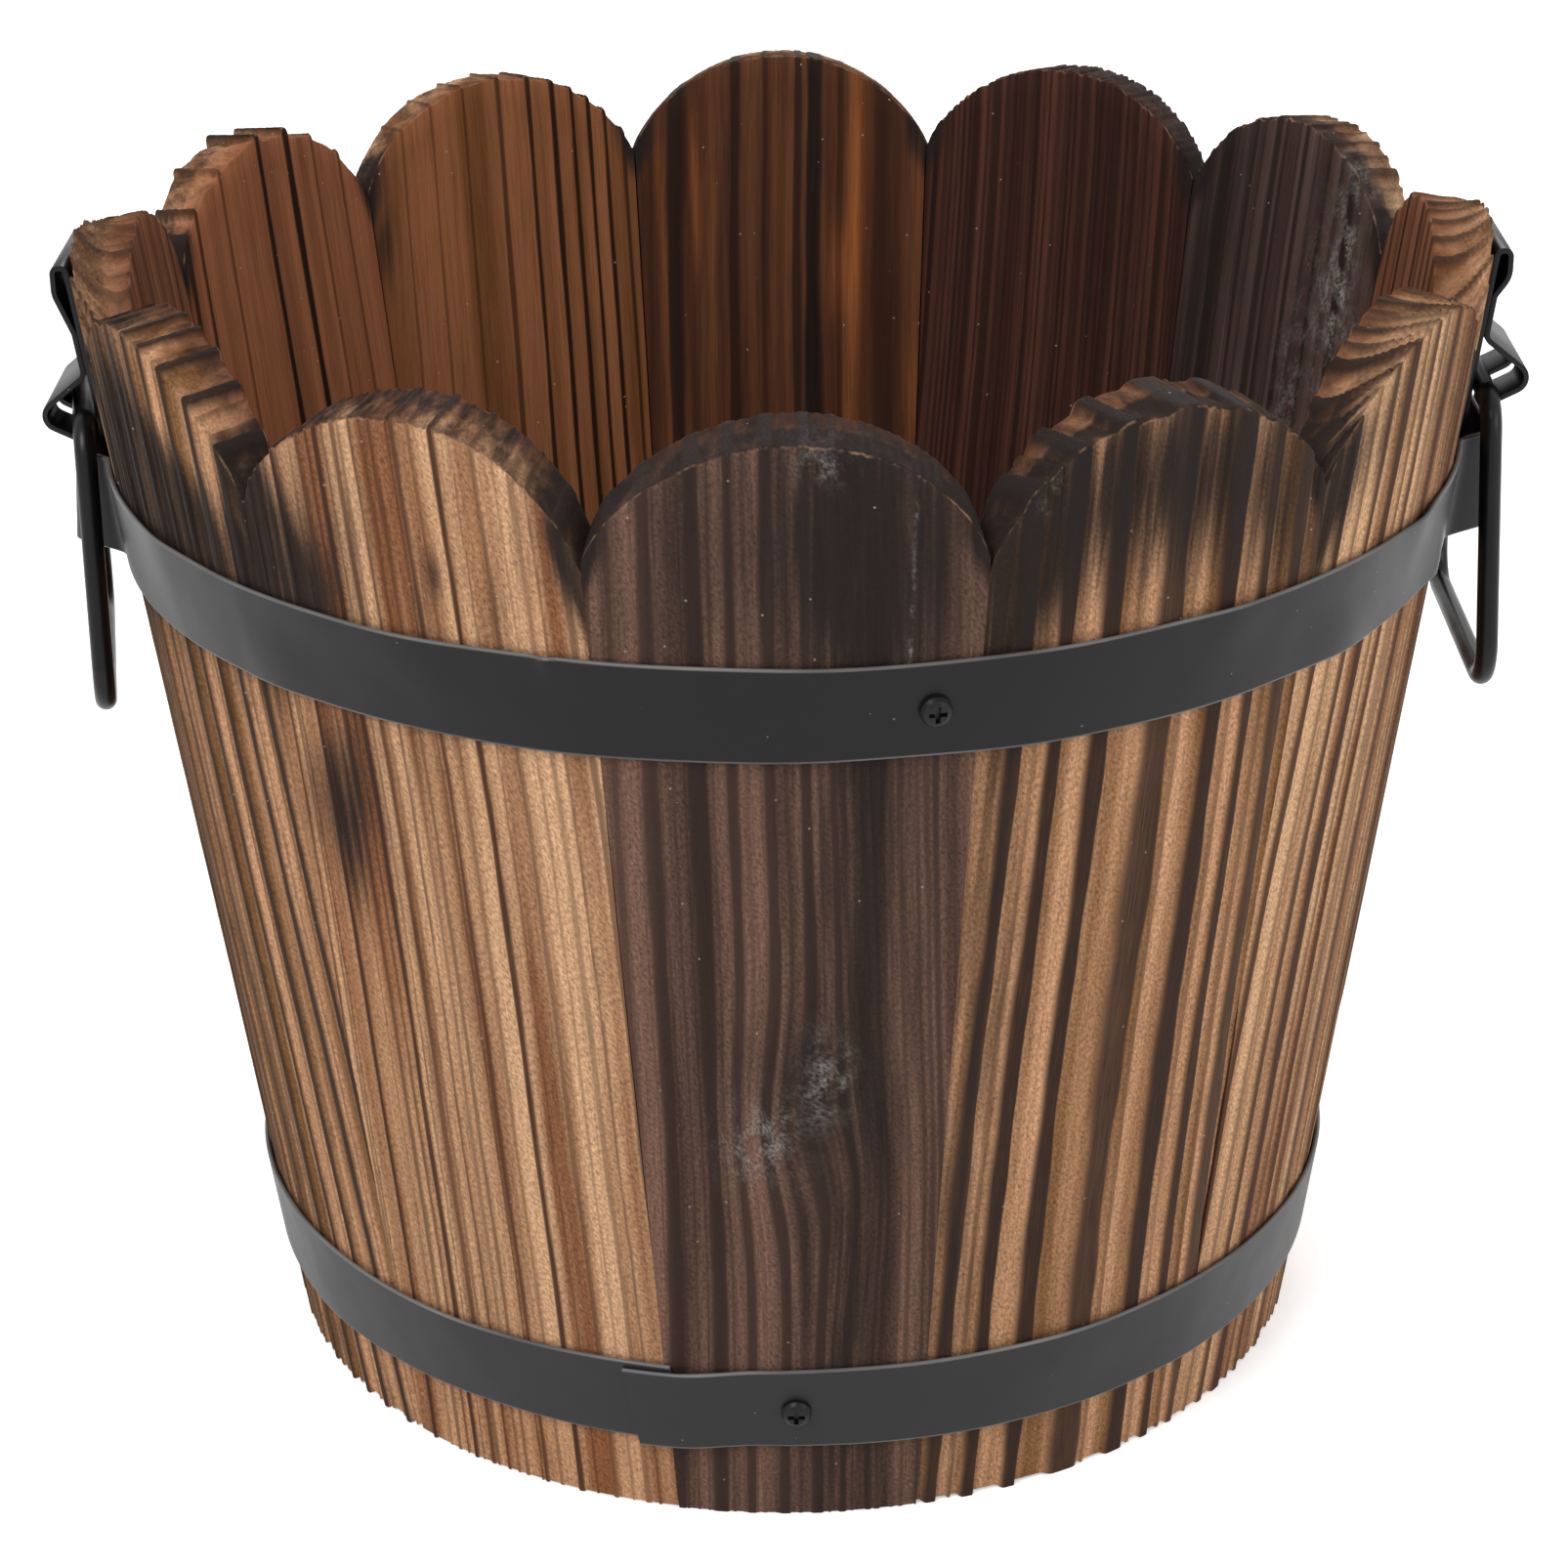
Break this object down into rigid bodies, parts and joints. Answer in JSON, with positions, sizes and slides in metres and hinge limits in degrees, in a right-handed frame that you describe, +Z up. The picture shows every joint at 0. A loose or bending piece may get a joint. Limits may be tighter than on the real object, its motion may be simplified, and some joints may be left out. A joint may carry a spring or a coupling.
{
  "type": "flower pot",
  "caption": "Tapered round pot of charred, brushed wooden staves with scalloped tops, black steel bands and a swinging wire bail on each side, for a plant or an inner pot.",
  "frame": {"origin": "on the floor, under the middle of the pot", "axes": "+Z up along the pot's axis; -Y to the front, the side the picture shows; +X to the right-hand bail"},
  "size_m": [0.2738, 0.2596, 0.2167],
  "materials": {
    "charred_wood": "charred and wire-brushed, with raised grain",
    "base_wood": "sawn, stained brown",
    "black_band": "satin black paint",
    "black_screw": "black oxide",
    "nail_steel": "plain",
    "black_wire": "satin black paint"
  },
  "bodies": {
    "tub": {"stave_01": "charred_wood", "stave_02": "charred_wood", "stave_03": "charred_wood", "stave_04": "charred_wood", "stave_05": "charred_wood", "stave_06": "charred_wood", "stave_07": "charred_wood", "stave_08": "charred_wood", "stave_09": "charred_wood", "stave_10": "charred_wood", "stave_11": "charred_wood", "stave_12": "charred_wood", "base_board_left": "base_wood", "base_board_middle": "base_wood", "base_board_right": "base_wood", "base_nails": "nail_steel", "upper_band": "black_band", "lower_band": "black_band", "upper_band_screws": "black_screw", "lower_band_screws": "black_screw", "left_handle_strap": "black_band", "right_handle_strap": "black_band", "left_strap_screw": "black_screw", "right_strap_screw": "black_screw"},
    "left_bail": {"left_bail": "black_wire"},
    "right_bail": {"right_bail": "black_wire"}
  },
  "joints": [
    {"name": "left_bail_swing", "type": "hinge", "parent": "tub", "child": "left_bail", "pos_m": [-0.13056, 0, 0.18187], "axis": [-0.1564, 0.9877, 0], "range_deg": [-7, 160]},
    {"name": "right_bail_swing", "type": "hinge", "parent": "tub", "child": "right_bail", "pos_m": [0.12887, 0, 0.18365], "axis": [0, -1, 0], "range_deg": [-7, 160]}
  ]
}
